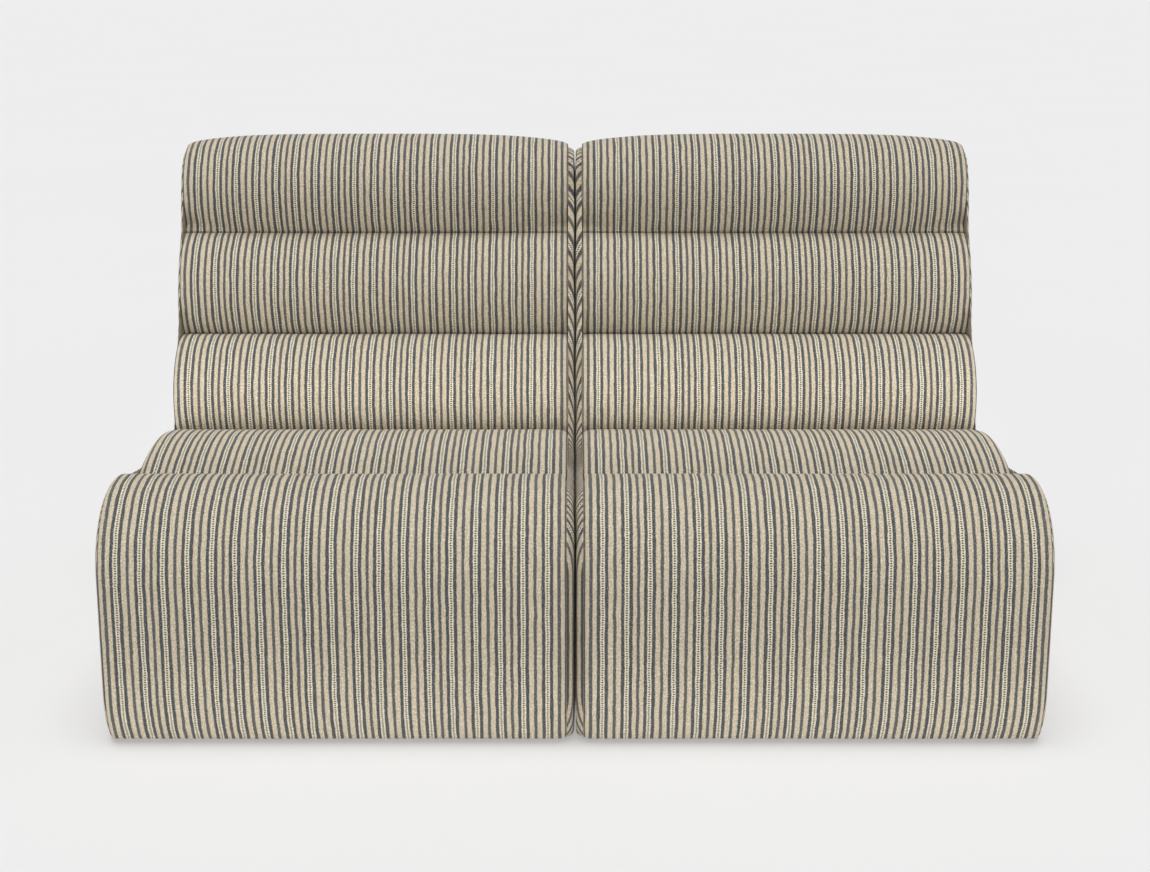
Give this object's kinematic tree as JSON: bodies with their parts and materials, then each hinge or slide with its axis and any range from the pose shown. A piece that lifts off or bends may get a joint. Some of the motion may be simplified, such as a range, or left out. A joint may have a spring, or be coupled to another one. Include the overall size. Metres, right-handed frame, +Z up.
{
  "type": "two-seater sofa",
  "caption": "Armless modular sofa of paired lounge units with channelled seat and back rolls in ticking stripe cloth, linked side by side under the base",
  "frame": {"origin": "on the floor under the middle of the sofa", "axes": "+X to the right seen from the front, along the sofa; +Y from front to back; +Z up"},
  "size_m": [1.514, 1.0232, 0.8986],
  "materials": {
    "ticking": "matte",
    "foam": "matte",
    "plywood": "matte",
    "beech": "matte",
    "webbing": "matte",
    "dust_cloth": "matte",
    "black_plastic": "satin",
    "zinc_steel": "satin"
  },
  "bodies": {
    "left_module": {"left_back_foam": "foam", "left_back_lower_rail": "beech", "left_back_top_rail": "beech", "left_back_webbing": "webbing", "left_base_rear_rail": "beech", "left_base_screws": "zinc_steel", "left_corner_blocks": "beech", "left_dust_cover": "dust_cloth", "left_frame_screws": "zinc_steel", "left_front_board": "plywood", "left_front_seat_roll": "ticking", "left_glides": "black_plastic", "left_head_board": "plywood", "left_inner_side_cover": "ticking", "left_inner_side_frame": "plywood", "left_link_batten": "beech", "left_link_sockets": "black_plastic", "left_lower_back_roll": "ticking", "left_middle_back_roll": "ticking", "left_outer_side_cover": "ticking", "left_outer_side_frame": "plywood", "left_outside_back_cover": "ticking", "left_rear_seat_roll": "ticking", "left_seat_foam": "foam", "left_seat_front_rail": "beech", "left_seat_rear_rail": "beech", "left_seat_webbing": "webbing", "left_top_back_roll": "ticking", "left_webbing_clips": "zinc_steel"},
    "right_module": {"right_back_foam": "foam", "right_back_lower_rail": "beech", "right_back_top_rail": "beech", "right_back_webbing": "webbing", "right_base_rear_rail": "beech", "right_base_screws": "zinc_steel", "right_corner_blocks": "beech", "right_dust_cover": "dust_cloth", "right_frame_screws": "zinc_steel", "right_front_board": "plywood", "right_front_seat_roll": "ticking", "right_glides": "black_plastic", "right_head_board": "plywood", "right_inner_side_cover": "ticking", "right_inner_side_frame": "plywood", "right_link_batten": "beech", "right_link_tongues": "zinc_steel", "right_lower_back_roll": "ticking", "right_middle_back_roll": "ticking", "right_outer_side_cover": "ticking", "right_outer_side_frame": "plywood", "right_outside_back_cover": "ticking", "right_rear_seat_roll": "ticking", "right_seat_foam": "foam", "right_seat_front_rail": "beech", "right_seat_rear_rail": "beech", "right_seat_webbing": "webbing", "right_top_back_roll": "ticking", "right_webbing_clips": "zinc_steel"}
  },
  "joints": [
    {"name": "module_slide", "type": "slide", "parent": "left_module", "child": "right_module", "axis": [1, 0, 0], "range_m": [0, 0.35]}
  ]
}
